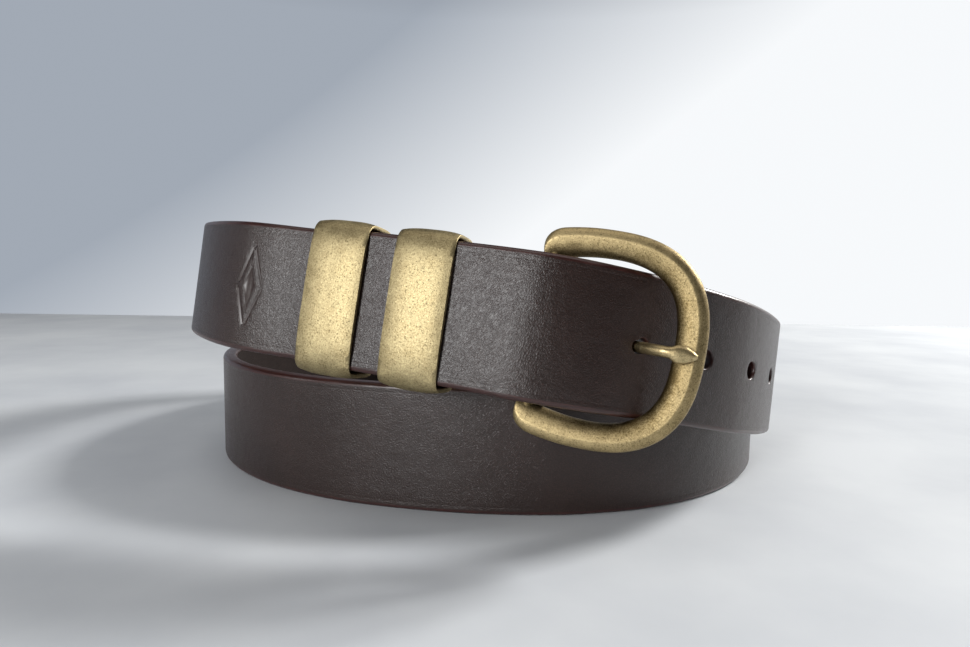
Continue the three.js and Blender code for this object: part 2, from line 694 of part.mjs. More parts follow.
SCREWS_FROM_BAR.forEach((distance, i) => {
  const group = placedGroup(stackFrame(distance));
  group.add(mesh(`screw_post_${i + 1}`, makePost(), brass));
  group.add(mesh(`screw_${i + 1}`, makeScrew(), brass));
  belt.add(group);
});

// The origin is the middle of the underside of the bounding box.
belt.updateMatrixWorld(true);
const box = new THREE.Box3().setFromObject(belt, true);
belt.position.set(-(box.min.x + box.max.x) / 2, -(box.min.y + box.max.y) / 2, -box.min.z);

export default belt;
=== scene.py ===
"""Leather belt: the detailed visual model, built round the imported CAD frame.

Lengths are in millimetres until a mesh is made; meshes and Blender objects are in metres.
The strap's route, the buckle and the keepers follow the CAD part's own driving dimensions.
"""
import json
import math

import bmesh
import bpy
from mathutils import Matrix, Vector


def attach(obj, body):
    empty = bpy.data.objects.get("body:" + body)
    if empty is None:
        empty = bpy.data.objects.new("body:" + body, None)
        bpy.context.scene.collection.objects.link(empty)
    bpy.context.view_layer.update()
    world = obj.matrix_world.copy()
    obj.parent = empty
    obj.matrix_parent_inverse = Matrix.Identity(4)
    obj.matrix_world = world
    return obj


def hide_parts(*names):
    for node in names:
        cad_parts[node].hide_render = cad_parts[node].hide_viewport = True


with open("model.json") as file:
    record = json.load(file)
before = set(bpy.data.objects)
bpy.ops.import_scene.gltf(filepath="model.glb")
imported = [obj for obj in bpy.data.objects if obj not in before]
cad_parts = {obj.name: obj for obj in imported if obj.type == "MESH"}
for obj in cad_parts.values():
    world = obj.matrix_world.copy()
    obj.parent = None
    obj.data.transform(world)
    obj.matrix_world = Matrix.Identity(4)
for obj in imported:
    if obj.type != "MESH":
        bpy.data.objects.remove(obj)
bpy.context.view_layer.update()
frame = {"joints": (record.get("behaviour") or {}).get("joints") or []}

MM = 0.001
UP = Vector((0, 0, 1))

# ---- Driving dimensions, in millimetres and degrees, as in the CAD part 
STRAP_WIDTH = 32
STRAP_THICKNESS = 4.2
LAYER_GAP = 0.6
FIT_GAP = 0.3
CUT_MARGIN = 1
SKIVED_THICKNESS = 2.6
SKIVE_START = 18
SKIVE_END = 4
SLOT_BEHIND_BAR = 8
SLOT_SIDE_GAP = 0.6
SLOT_PAST_FOLD = 0.25
FLAP_LENGTH = 42
FLAP_CLOSED_AT = 12
TIP_LENGTH = 52
TIP_DEPTH = -(STRAP_THICKNESS + LAYER_GAP)
TIP_POINT_LENGTH = 13
TIP_BULGE_BACK = 1.5
TIP_BULGE_ASIDE = 0.62
TIP_CUTTER_BELOW = 0.24
TIP_CUTTER_ABOVE = 0.36
HOLE_RADIUS = 2.15
HOLE_SPACING = 19.2
HOLE_COUNT = 5
FIRST_HOLE_FROM_BAR = 25.5

BAR_RADIUS = 2
FRAME_HEIGHT = 48.4
FRAME_WIDTH = 6.3
FRAME_ARM_WIDTH = 5.9
FRAME_THICKNESS = 4.3
FRAME_FRONT = 32.3
FRAME_ARM_STRAIGHT = 11
FRAME_ARM_END = -3.2
FRAME_ARM_CLOSING = 1.3
FRAME_ROUNDNESS = 2.7
FRAME_TURN = 3.8
PRONG_THICKNESS = 2.5
PRONG_EYE_THICKNESS = 1.5
PRONG_EYE_WIDTH = 4.2
PRONG_EYE_ANGLES = range(-40, -271, -23)
PRONG_FULL_THICKNESS_AT = 9
PRONG_POINT_THICKNESS = 1.2
PRONG_SHAFT = [
    (3.5, 2.3), (7, 0.8), (11, -0.9), (15, -2.2), (18.8, -2.4), (21.3, -1.1), (23, 0.9),
    (24.6, 2.8), (26.4, 3.9), (28.4, 4.2), (30.4, 4.1), (32, 4.0), (33.4, 3.9),
]

KEEPER_LENGTH = 14
KEEPER_STRIP = 1.7
KEEPER_INNER_DEPTH = 12.9
KEEPER_SLACK = 0.7
KEEPER_INNER_CORNER = 2.2
KEEPER_FACE_GAP = 0.4
KEEPERS_FROM_BAR = {"keeper_near": 26.1, "keeper_far": 47.0}

SCREW_HEAD_RADIUS = 2.9
SCREW_HEAD_HEIGHT = 0.9
SCREW_HEAD_INSET = 0.6
POST_RADIUS = 2.2
POST_BORE_RADIUS = 1.5
POST_BORE_ROOF = 1.6
POST_PAST_FLAP = 0.05
SHANK_RADIUS = 1.15
SHANK_END = 2.4
SCREW_SLOT_WIDTH = 1
SCREW_SLOT_LENGTH = 7
SCREW_SLOT_DEPTH = 0.45
SCREWS_FROM_BAR = (14, 36.9)

BAR_POINT = Vector((9.5, -104.2, 48.5))
STACK_HEADING = -16.8
STACK_SLOPE = 5.6
BAR_SLOPE = 8
SLOPE_BLEND = 14
STACK_LEAN = -8
STACK_LENGTH = 76
LOWER_HALF_X = 91.7
LOWER_HALF_Y = 87.6
LOWER_EXPONENT = 2.25
LOWER_ROTATION = -8.9
LOWER_ANGLES = range(525, 706, 15)
LOWER_LIFT_FROM = 660
LOWER_LIFT = 0.9

# Grain face at the middle of the width: angle round the coil, radius, height, lean.
UPPER_RIGHT = [
    (282, 109.9, 46.8, -5.5), (290, 108.5, 43.9, -2.5), (305, 107.0, 37.6, 1.5),
    (320, 102.2, 32.0, 3), (335, 97.8, 27.8, 3), (350, 97.0, 24.3, 3),
    (365, 97.6, 21.0, 3), (380, 98.2, 18.0, 2), (395, 98.0, 16.4, 1),
    (410, 97.0, 16, 0), (430, 95.0, 16, 0), (450, 93.4, 16, 0),
    (470, 92.6, 16, 0), (490, 92.6, 16, 0), (510, 92.6, 16, 0),
]
CLIMB = [
    (720, 92.0, 19.2, 0), (740, 91.2, 22.6, 0), (755, 90.0, 26.3, 0),
    (770, 88.6, 30.8, 0), (785, 87.3, 35.6, 0), (800, 86.4, 40.6, 0),
    (815, 86.2, 45.6, 0), (827, 87.0, 48.7, -1), (840, 89.5, 50.7, -1),
    (855, 92.3, 52.2, -2), (870, 93.6, 53.5, -3), (885, 94.0, 55.0, -4),
    (905, 95.0, 56.4, -6), (920, 98.0, 57.2, -7), (935, 102.0, 57.3, -8.5),
]

STRAIGHT_KNOTS = (1, 0.75, 0.5, 0.25, 0)
FOLD_KNOTS = range(30, 181, 30)
FLAP_KNOTS = (3, 6.5, 10, FLAP_CLOSED_AT, 18, 26, 34, FLAP_LENGTH)

# ---- Detail that only the visual model has, in millimetres ---------
ROUTE_SAMPLES = 40  # from knot to knot
GRAIN_COLUMNS = (0, 3, 6, 9, 11.5)  # places across the grain face, up to the crease
FLESH_COLUMNS = (12, 8, 4)
EDGE_STEPS = 6
EDGE_ROUNDING = 1.15
CREASE_INSET = 2.1  # edge crease, measured from the edge of the strap
CREASE_WIDTH = 0.34
CREASE_DEPTH = 0.035
CREASE_PROFILE = ((-1, 0), (-0.55, 0.25), (0, 1), (0.55, 0.25), (1, 0))  # in widths and depths
RING_SPACING = 1.8
RING_TURN = 2.5
HOLE_ROUNDING = 0.45
FILLED_HOLE_RADIUS = 1.5  # the leather has closed round the prong in its hole
PUNCH_ABOVE = 0.6  # how far the punch stands out of the grain face, and its flare there
PUNCH_ABOVE_FLARE = 0.25
PUNCH_BELOW = 0.5
PUNCH_BELOW_FLARE = 0.3
STAMP_FROM_BAR = 73.5
STAMP_SIZE = (7.8, 20.5)  # lozenge: along and across the strap
STAMP_PANEL_SIZE = (3.4, 10)
STAMP_PANEL_DEPTH = 0.2
STAMP_GROOVE = 0.8
STAMP_GROOVE_STEPS = 10
STAMP_CORNER_GAP = 0.07  # part of a side left plain at each corner
STAMP_DEPTH = 0.25

BAR_SINK = 1.6  # from the middle of an arm to the bar's end in it
BAR_NECK_RADIUS = 1.35
BAR_NECK_LENGTH = 4
BAR_FULL_FROM = 6  # from the bar's end to where it has its full radius
BULB_LENGTH = 5  # round end of each arm
BULB_BLUNTNESS = 0.62
BULB_SMALLEST = 0.06  # least sine of the bulb's turn, so that its very end isn't a point
BULB_STEPS = 12
FRONT_STEPS = 56
INNER_FULLNESS_ARM = 1.26  # how much fuller the rim is on its inner side
INNER_FULLNESS_FRONT = 1.08
FULLNESS_BLEND = 5  # how far past the straight arm the fullness goes on changing
ARM_PAINTED_LIGHT = 0.34  # how much brighter the arms are painted than the front bar, as painted light
RIM_PROFILE = [
    # out, away from the middle, wear and painted light: rubbed and painted highlight along the
    # ridge, painted shade on the back
    (-0.85, -0.28, -0.45), (-0.85, 0.26, -0.45), (-0.62, 0.43, -0.34), (-0.12, 0.50, -0.20),
    (0.42, 0.475, 0.08), (0.80, 0.35, 0.22), (1.00, 0.17, 0.35), (0.99, 0.05, 0.16),
    (0.86, -0.16, -0.06), (0.60, -0.35, -0.18), (0.18, -0.47, -0.32), (-0.40, -0.50, -0.50),
    (-0.70, -0.42, -0.50),
]

PRONG_WIDTHS = [
    (0, PRONG_EYE_WIDTH), (5, 3), (8, 2.5), (27.4, 2.5), (28.0, 2.8), (28.9, 3.8), (29.6, 3.95),
    (30.8, 3.7), (32.4, 2.3), (33.4, 0.9),
]
PRONG_RINGS = 150
PRONG_SIDES = 24
PRONG_WAY = 0.22  # room between the prong and the leather round it
PRONG_WAY_TURNS = (-0.6, 0.4, 1.4, 2.4, 3.4, 4.4)
PRONG_WAY_STRETCH = (0.56, 0.88)  # part of the prong's middle line
PRONG_WAY_RINGS = 28
PRONG_WAY_SIDES = 20

KEEPER_CROWN = 0.62  # how much lower the strip is at its ends than in its middle
KEEPER_CROWN_POWER = 3.2
KEEPER_CROWN_STEPS = 14
KEEPER_SQUARENESS = 4  # of the outer face, as a superellipse
KEEPER_CORNER_STEPS = 10
KEEPER_STRAIGHT_STEPS = 22

# ---- Stage, in metres and degrees ----------------------------------
CAMERA_PLACE = (-0.00284, -0.23415, 0.06197)
CAMERA_PITCH = 5.20
CAMERA_ROLL = 0.79
CAMERA_LENS = 24  # millimetres
LIGHTS_AIM = (0, -0.05, 0.04)
FLOOR_FRONT, FLOOR_BACK, FLOOR_SIDE = -0.9, 0.49, 1.6


# ---- Frames on the belt --------------------------------------------
class Station:
    """A place on the belt: origin, and unit vectors along, across and out of it."""

    def __init__(self, origin, along, wish):
        self.origin = origin.copy()
        self.along = along.normalized()
        self.across = (wish - self.along * wish.dot(self.along)).normalized()
        self.out = self.along.cross(self.across)
        self.length = 0.0
        self.thickness = STRAP_THICKNESS

    def point(self, along, across, out):
        """The point at these local coordinates."""
        return self.origin + self.along * along + self.across * across + self.out * out

    def moved(self, along=0, across=0, out=0):
        return Station(self.point(along, across, out), self.along, self.across)


def smoothstep(x, low, high):
    t = min(1, max(0, (x - low) / (high - low)))
    return t * t * (3 - 2 * t)


def mix(a, b, t):
    return a + (b - a) * t


def leaning(bearing, lean):
    """Across direction at a bearing round the coil, leaning outwards by lean degrees."""
    outwards = Vector((math.cos(math.radians(bearing)), math.sin(math.radians(bearing)), 0))
    return UP * math.cos(math.radians(lean)) + outwards * math.sin(math.radians(lean))


def stack_station(distance, depth=0):
    """Station of the straight stretch, at a distance behind the heel bar and a depth inwards."""
    near_bar = max(0, 1 - distance / SLOPE_BLEND)
    gentle = math.tan(math.radians(STACK_SLOPE))
    steep = math.tan(math.radians(BAR_SLOPE)) - gentle
    rise = distance * gentle + steep * SLOPE_BLEND * (1 - near_bar ** 2) / 2
    heading = math.radians(STACK_HEADING)
    plan = Vector((math.cos(heading), math.sin(heading), 0))
    origin = BAR_POINT - plan * distance + UP * rise
    along = plan - UP * (gentle + steep * near_bar)
    station = Station(origin, along, leaning(STACK_HEADING - 90, STACK_LEAN))
    return station.moved(out=-depth)


FOLD_RADIUS = BAR_RADIUS + FIT_GAP + SKIVED_THICKNESS
FLAP_DEPTH = STRAP_THICKNESS + FIT_GAP + SKIVED_THICKNESS
HEEL_BAR = stack_station(0, FOLD_RADIUS)


def buckle_station():
    """Station of the buckle: origin on the heel bar, along to the front bar."""
    turn = Matrix.Rotation(math.radians(FRAME_TURN), 3, HEEL_BAR.across)
    return Station(HEEL_BAR.origin, turn @ HEEL_BAR.along, HEEL_BAR.across)


def row_shift():
    """From the coil's own coordinates to the row frame: the hinge shows where the heel bar is."""
    hinge = next(joint for joint in frame["joints"] if joint["name"] == "buckle_swing")
    return Vector(hinge["pos_m"]) - HEEL_BAR.origin * MM


SHIFT = row_shift()


def to_row(point):
    return point * MM + SHIFT


# ---- The strap's route ---------------------------------------------
def lower_radius(angle):
    turned = math.radians(angle - LOWER_ROTATION)
    x = abs(math.cos(turned) / LOWER_HALF_X) ** LOWER_EXPONENT
    y = abs(math.sin(turned) / LOWER_HALF_Y) ** LOWER_EXPONENT
    return (x + y) ** (-1 / LOWER_EXPONENT)


def polar_knot(angle, radius, height, lean):
    flat = Vector((math.cos(math.radians(angle)), math.sin(math.radians(angle)), 0)) * radius
    return flat + UP * height, leaning(angle, lean)


def stack_knot(distance, depth):
    station = stack_station(distance, depth)
    return station.origin, station.across


def fold_knots():
    """Round the heel bar, then back along the inside as the flap."""
    knots = []
    for angle in FOLD_KNOTS:
        turn = math.radians(angle)
        out = math.cos(turn) * FOLD_RADIUS
        along = math.sin(turn) * FOLD_RADIUS
        knots.append((HEEL_BAR.point(along, 0, out), HEEL_BAR.across))
    for distance in FLAP_KNOTS:
        closing = smoothstep(distance, 0, FLAP_CLOSED_AT)
        knots.append(stack_knot(distance, mix(2 * FOLD_RADIUS, FLAP_DEPTH, closing)))
    return knots


def strap_knots():
    """(point on the grain face, wish for the across direction), from the tip to the flap's end."""
    knots = [stack_knot(TIP_LENGTH * part, TIP_DEPTH) for part in STRAIGHT_KNOTS]
    knots += [polar_knot(*row) for row in UPPER_RIGHT]
    for angle in LOWER_ANGLES:
        lifted = max(0, (angle - LOWER_LIFT_FROM) / (LOWER_ANGLES[-1] - LOWER_LIFT_FROM)) ** 2
        height = STRAP_WIDTH / 2 + LOWER_LIFT * lifted
        knots.append(polar_knot(angle, lower_radius(angle), height, 0))
    knots += [polar_knot(*row) for row in CLIMB]
    knots += [stack_knot(STACK_LENGTH * part, 0) for part in STRAIGHT_KNOTS]
    return knots + fold_knots()


def spline_window(points, t):
    """The four points round parameter t from 0 to 1, and the place between the middle two."""
    place = t * (len(points) - 1)
    i = min(int(place), len(points) - 2)
    before = points[i - 1] if i > 0 else 2 * points[0] - points[1]
    after = points[i + 2] if i + 2 < len(points) else 2 * points[-1] - points[-2]
    return before, points[i], points[i + 1], after, place - i


def hermite(a, b, slope_a, slope_b, t):
    square = t * t
    cube = square * t
    return (a + slope_a * t + (3 * (b - a) - 2 * slope_a - slope_b) * square
            + (2 * (a - b) + slope_a + slope_b) * cube)


def centripetal(points, t):
    """Centripetal Catmull-Rom spline through the points."""
    p0, p1, p2, p3, place = spline_window(points, t)
    d0, d1, d2 = (math.sqrt((b - a).length) for a, b in ((p0, p1), (p1, p2), (p2, p3)))
    slope_1 = ((p1 - p0) / d0 - (p2 - p0) / (d0 + d1) + (p2 - p1) / d1) * d1
    slope_2 = ((p2 - p1) / d1 - (p3 - p1) / (d1 + d2) + (p3 - p2) / d2) * d1
    return hermite(p1, p2, slope_1, slope_2, place)


def uniform(points, t):
    """Uniform Catmull-Rom spline through the points."""
    p0, p1, p2, p3, place = spline_window(points, t)
    return hermite(p1, p2, (p2 - p0) / 2, (p3 - p1) / 2, place)


def fold_start(length):
    """Where the fold begins on a strap of this length."""
    return length - FLAP_LENGTH - math.pi * FOLD_RADIUS


def dense_stations():
    """Closely spaced stations along the whole strap, with their lengths and thicknesses."""
    knots = strap_knots()
    points = [point for point, wish in knots]
    wishes = [wish for point, wish in knots]
    samples = (len(knots) - 1) * ROUTE_SAMPLES
    places = [centripetal(points, i / samples) for i in range(samples + 1)]
    stations = []
    length = 0
    for i, place in enumerate(places):
        along = places[min(i + 1, samples)] - places[max(i - 1, 0)]
        station = Station(place, along, uniform(wishes, i / samples))
        if i > 0:
            length += (place - places[i - 1]).length
        station.length = length
        stations.append(station)
    for station in stations:
        thin = 1 - smoothstep(fold_start(length) - station.length, SKIVE_END, SKIVE_START)
        station.thickness = mix(STRAP_THICKNESS, SKIVED_THICKNESS, thin)
    return stations


def thinned(stations, spacing, turn):
    """The stations at which the strap has gone on by spacing or turned by turn degrees."""
    kept = [stations[0]]
    cost = 0
    for before, station in zip(stations, stations[1:]):
        cost += (station.length - before.length) / spacing
        cost += math.degrees(station.along.angle(before.along)) / turn
        if cost >= 1 or station is stations[-1]:
            kept.append(station)
            cost = 0
    return kept


def station_at(stations, length):
    """Station at a length from the tip."""
    after = next(i for i, station in enumerate(stations) if station.length >= length)
    a, b = stations[after - 1], stations[after]
    part = (length - a.length) / (b.length - a.length)
    return Station(a.origin.lerp(b.origin, part), a.along.lerp(b.along, part),
                   a.across.lerp(b.across, part))


STATIONS = dense_stations()
FOLD_START = fold_start(STATIONS[-1].length)


# ---- Mesh helpers --------------------------------------------------
def new_piece(name, vertices, faces, materials, indices=None):
    """Object of a mesh in the row frame; vertices are in the coil's millimetres."""
    mesh = bpy.data.meshes.new(name)
    mesh.from_pydata([to_row(vertex) for vertex in vertices], [], faces)
    for material in materials:
        mesh.materials.append(material)
    if indices:
        mesh.polygons.foreach_set("material_index", indices)
    piece = bpy.data.objects.new(name, mesh)
    bpy.context.scene.collection.objects.link(piece)
    return piece


def ring_faces(rings, size, closed_path=False):
    """Quads between neighbouring rings of size points."""
    faces = []
    for i in range(rings if closed_path else rings - 1):
        a, b = i * size, ((i + 1) % rings) * size
        for j in range(size):
            k = (j + 1) % size
            faces.append((a + j, a + k, b + k, b + j))
    return faces


def tube(name, rings, materials, closed_path=False):
    """A solid through rings of points, capped at its ends unless it runs round a closed path."""
    size = len(rings[0])
    faces = ring_faces(len(rings), size, closed_path)
    if not closed_path:
        first = (len(rings) - 1) * size
        faces.append(tuple(range(size - 1, -1, -1)))
        faces.append(tuple(range(first, first + size)))
    vertices = [point for ring in rings for point in ring]
    piece = new_piece(name, vertices, faces, materials)
    face_outwards(piece)
    return piece


def face_outwards(piece):
    """Turns every face of a closed piece outwards; a cutter turned inside out would add material."""
    bm = bmesh.new()
    bm.from_mesh(piece.data)
    bmesh.ops.recalc_face_normals(bm, faces=bm.faces)
    if bm.calc_volume(signed=True) < 0:
        bmesh.ops.reverse_faces(bm, faces=bm.faces)
    bm.to_mesh(piece.data)
    bm.free()


def lathe(name, profile, station, materials, sides=40):
    """Solid of revolution about a station's out axis; the profile starts and ends on the axis."""
    size = len(profile) - 2
    vertices = [station.point(0, 0, profile[0][1]), station.point(0, 0, profile[-1][1])]
    for i in range(sides):
        turn = math.tau * i / sides
        for radius, height in profile[1:-1]:
            vertices.append(station.point(radius * math.cos(turn), radius * math.sin(turn), height))
    faces = []
    for i in range(sides):
        a, b = 2 + i * size, 2 + (i + 1) % sides * size
        faces.append((0, a, b))
        faces.append((1, b + size - 1, a + size - 1))
        for j in range(size - 1):
            faces.append((a + j, a + j + 1, b + j + 1, b + j))
    piece = new_piece(name, vertices, faces, materials)
    face_outwards(piece)
    return piece


def triangulate(piece):
    """Splits the faces into triangles, so that none of them is left bent for a boolean."""
    bm = bmesh.new()
    bm.from_mesh(piece.data)
    bmesh.ops.triangulate(bm, faces=bm.faces)
    bm.to_mesh(piece.data)
    bm.free()


def boolean(piece, tools, operation="DIFFERENCE"):
    """Cuts the tools out of the piece, or joins them to it, and removes them."""
    triangulate(piece)
    for tool in tools:
        triangulate(tool)
        modifier = piece.modifiers.new(tool.name, "BOOLEAN")
        modifier.operation = operation
        modifier.solver = "MANIFOLD"
        modifier.material_mode = "TRANSFER"
        modifier.object = tool
    bake_modifiers(piece)
    for tool in tools:
        bpy.data.objects.remove(tool)


def bake_modifiers(piece):
    """Applies the piece's modifiers to its mesh."""
    bpy.context.view_layer.update()
    graph = bpy.context.evaluated_depsgraph_get()
    mesh = bpy.data.meshes.new_from_object(piece.evaluated_get(graph))
    piece.modifiers.clear()
    piece.data = mesh


def shade(piece, sharp_from=40):
    piece.data.shade_smooth()
    piece.data.set_sharp_from_angle(angle=math.radians(sharp_from))
    return piece


def finish_piece(piece, body, slot, *nodes):
    """Rides the piece on its body, as the stand-in for its CAD nodes."""
    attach(piece, body)
    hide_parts(*nodes)


# ---- Node helpers --------------------------------------------------
class Nodes:
    """Short calls for the nodes of a tree."""

    def __init__(self, tree):
        self.tree = tree

    def add(self, kind, **settings):
        node = self.tree.nodes.new(kind)
        for key, value in settings.items():
            setattr(node, key, value)
        return node

    def link(self, output, socket):
        self.tree.links.new(output, socket)

    def millimetres(self, source="Object", stretch=(1, 1, 1), turn=0):
        """Coordinates in millimetres, turned about the third axis, then stretched along each."""
        coordinates = self.add("ShaderNodeTexCoord")
        mapping = self.add("ShaderNodeMapping", vector_type="TEXTURE")
        mapping.inputs["Scale"].default_value = [s * MM for s in stretch]
        mapping.inputs["Rotation"].default_value = (0, 0, math.radians(turn))
        self.link(coordinates.outputs[source], mapping.inputs["Vector"])
        return mapping.outputs["Vector"]

    def noise(self, where, scale, detail=3, roughness=0.55, distortion=0):
        node = self.add("ShaderNodeTexNoise")
        node.inputs["Scale"].default_value = scale
        node.inputs["Detail"].default_value = detail
        node.inputs["Roughness"].default_value = roughness
        node.inputs["Distortion"].default_value = distortion
        self.link(where, node.inputs["Vector"])
        return node.outputs["Fac"]

    def cells(self, where, scale, feature="F1"):
        node = self.add("ShaderNodeTexVoronoi", feature=feature)
        node.inputs["Scale"].default_value = scale
        self.link(where, node.inputs["Vector"])
        return node.outputs["Distance"]

    def spread(self, value, low, high, to_low=0, to_high=1):
        """The value mapped from one range to another, clamped."""
        node = self.add("ShaderNodeMapRange")
        node.inputs["From Min"].default_value = low
        node.inputs["From Max"].default_value = high
        node.inputs["To Min"].default_value = to_low
        node.inputs["To Max"].default_value = to_high
        self.link(value, node.inputs["Value"])
        return node.outputs["Result"]

    def math(self, operation, *values):
        node = self.add("ShaderNodeMath", operation=operation)
        for socket, value in zip(node.inputs, values):
            if isinstance(value, (int, float)):
                socket.default_value = value
            else:
                self.link(value, socket)
        return node.outputs["Value"]

    def mix(self, factor, a, b):
        """Mix of two colours, each a tuple or another node's output."""
        node = self.add("ShaderNodeMix", data_type="RGBA")
        self.link(factor, node.inputs["Factor"])
        for socket, value in ((node.inputs["A"], a), (node.inputs["B"], b)):
            if isinstance(value, tuple):
                socket.default_value = (*value, 1)
            else:
                self.link(value, socket)
        return node.outputs["Result"]

    def ramp(self, factor, *stops):
        """Colour ramp through (position, colour) stops."""
        node = self.add("ShaderNodeValToRGB")
        elements = node.color_ramp.elements
        while len(elements) < len(stops):
            elements.new(0.5)
        for element, (position, colour) in zip(elements, stops):
            element.position = position
            element.color = (*colour, 1)
        self.link(factor, node.inputs["Fac"])
        return node.outputs["Color"]

    def bump(self, height, depth, below=None):
        """Bump whose height of 1 stands for a depth in millimetres."""
        node = self.add("ShaderNodeBump")
        node.inputs["Distance"].default_value = depth * MM
        self.link(height, node.inputs["Height"])
        if below:
            self.link(below, node.inputs["Normal"])
        return node.outputs["Normal"]

    def attribute(self, name):
        return self.add("ShaderNodeAttribute", attribute_name=name).outputs["Fac"]


class Surface(Nodes):
    """A new material, whose shader's sockets are named in plain words."""

    def __init__(self, name):
        self.material = bpy.data.materials.new(name)
        self.material.use_nodes = True
        super().__init__(self.material.node_tree)
        self.shader = self.tree.nodes["Principled BSDF"]

    def socket(self, name):
        """The shader's socket of a name with _ for a space."""
        return self.shader.inputs[name.replace("_", " ").title().replace("Ior", "IOR")]

    def inputs(self, **outputs):
        """Links nodes' outputs to the shader's sockets."""
        for name, output in outputs.items():
            self.link(output, self.socket(name))

    def constants(self, **values):
        for name, value in values.items():
            self.socket(name).default_value = value


# ---- Leather -------------------------------------------------------
def grain_leather():
    """Waxed grain face: a fine slanting pebble over a softly uneven sheen."""
    n = Surface("grain_leather")
    slanted = n.millimetres("UV", stretch=(1.35, 0.8, 1), turn=52)
    straight = n.millimetres("UV")
    warp = n.noise(straight, 0.9, detail=2, distortion=0.6)
    pebbles = n.spread(n.cells(slanted, 2.0, "DISTANCE_TO_EDGE"), 0.0, 0.34)
    fibres = n.noise(slanted, 2.6, detail=4, roughness=0.6)
    height = n.math("ADD", n.math("MULTIPLY", pebbles, 0.6), fibres)
    swell = n.noise(straight, 0.2, detail=3)
    low = n.bump(swell, 0.2)
    normal = n.bump(height, 0.06, below=low)

    patches = n.noise(n.millimetres(), 0.06, detail=4)
    base = n.ramp(patches, (0.3, (0.0215, 0.0104, 0.0078)), (0.7, (0.0345, 0.0172, 0.0132)))
    pores = n.spread(height, 0.45, 0.95)
    colour = n.mix(pores, (0.0140, 0.0064, 0.0048), base)
    rough = n.math("ADD", n.spread(warp, 0.3, 0.7, 0.31, 0.37),
                   n.spread(patches, 0.3, 0.7, 0, 0.04))
    n.inputs(base_color=colour, roughness=rough, normal=normal)
    n.constants(coat_weight=0.06, coat_roughness=0.3, specular_ior_level=0.5)
    return n.material


def edge_leather():
    """Burnished edge: reddish dark brown, rubbed smooth lengthways."""
    n = Surface("edge_leather")
    lengthways = n.millimetres("UV", stretch=(9, 1, 1))
    streaks = n.noise(lengthways, 2.4, detail=4, roughness=0.6)
    colour = n.ramp(streaks, (0.3, (0.017, 0.0052, 0.0042)), (0.62, (0.044, 0.0125, 0.0098)),
                    (0.8, (0.080, 0.030, 0.023)))
    rough = n.spread(streaks, 0.3, 0.7, 0.30, 0.46)
    n.inputs(base_color=colour, roughness=rough, normal=n.bump(streaks, 0.05))
    n.constants(coat_weight=0.25, coat_roughness=0.25)
    return n.material


def flesh_leather():
    """Flesh side: matt and very dark, with short loose fibres; its darkness is partly the leather's
    own and partly painted shade for the inside of the coil.
    """
    n = Surface("flesh_leather")
    where = n.millimetres("UV", stretch=(1.6, 1, 1), turn=20)
    fibres = n.noise(where, 1.8, detail=6, roughness=0.75, distortion=1.2)
    blotches = n.noise(n.millimetres(), 0.11, detail=3)
    pale = n.ramp(blotches, (0.3, (0.0165, 0.0088, 0.0070)), (0.7, (0.0245, 0.0135, 0.0105)))
    colour = n.mix(n.spread(fibres, 0.35, 0.68), (0.0085, 0.0044, 0.0036), pale)
    rough = n.spread(fibres, 0.3, 0.7, 0.92, 0.80)
    n.inputs(base_color=colour, roughness=rough, normal=n.bump(fibres, 0.12))
    n.constants(specular_ior_level=0.3)
    return n.material


# ---- Brass ---------------------------------------------------------
def antique_brass(name, pale, dark, speckle, smoothest):
    """Tumbled brass: pale where it is rubbed, mottled, brown in its pits and hollows, and painted
    lighter and darker by a vertex attribute that holds wear, painted highlights and painted shade.

    speckle is how dark its pits are, and smoothest its lowest roughness.
    """
    n = Surface(name)
    where = n.millimetres()
    patches = n.noise(where, 0.30, detail=5, roughness=0.6)
    pits = n.noise(where, 2.3, detail=4, roughness=0.75)
    grain = n.noise(where, 3.2, detail=4, roughness=0.7)
    spots = n.spread(pits, 0.54, 0.68)
    # the vertex attribute brings wear, painted highlights and painted shade into the tone
    tone = n.math("ADD", n.spread(patches, 0.32, 0.68, 0.18, 0.56), n.attribute("wear_and_shading"))
    tone = n.math("ADD", tone, n.spread(grain, 0.3, 0.7, -0.34, 0.34))
    rubbed_and_lit = n.mix(n.spread(tone, 0.0, 1.0), dark, pale)
    stain = tuple(0.36 * value for value in dark)
    colour = n.mix(n.math("MULTIPLY", spots, speckle), rubbed_and_lit, stain)
    rough = n.math("ADD", n.spread(patches, 0.3, 0.7, smoothest, smoothest + 0.08),
                   n.math("MULTIPLY", spots, 0.16))
    dents = n.bump(n.noise(where, 0.5, detail=2), 0.05)
    n.inputs(base_color=colour, roughness=rough, normal=n.bump(pits, 0.02, below=dents))
    n.constants(metallic=1.0)
    return n.material


# ---- Strap ---------------------------------------------------------
GRAIN, EDGE, FLESH = 0, 1, 2


def strap_section():
    """(across, depth as a part of the thickness, kind of the face that follows), anticlockwise."""
    half = STRAP_WIDTH / 2
    right = [(across, 0, GRAIN) for across in GRAIN_COLUMNS]
    for offset, drop in CREASE_PROFILE:
        across = half - CREASE_INSET + offset * CREASE_WIDTH
        right.append((across, drop * CREASE_DEPTH, GRAIN))
    rounded = []
    for i in range(EDGE_STEPS + 1):
        turn = math.pi / 2 * i / EDGE_STEPS
        across = half - EDGE_ROUNDING * (1 - math.sin(turn))
        rounded.append((across, EDGE_ROUNDING * (1 - math.cos(turn))))
    right += [(across, depth, EDGE) for across, depth in rounded]
    right += [(across, STRAP_THICKNESS - depth, EDGE) for across, depth in reversed(rounded)]
    right[-1] = (*right[-1][:2], FLESH)
    right += [(across, STRAP_THICKNESS, FLESH) for across in FLESH_COLUMNS]
    left = [(-across, depth) for across, depth, kind in reversed(right[1:])]
    kinds = [kind for across, depth, kind in right]
    middle = [(0, STRAP_THICKNESS, FLESH)]
    mirrored = [(across, depth, kind)
                for (across, depth), kind in zip(left, reversed(kinds[:-1]))]
    section = right + middle + mirrored
    return [(across, depth / STRAP_THICKNESS, kind) for across, depth, kind in section]


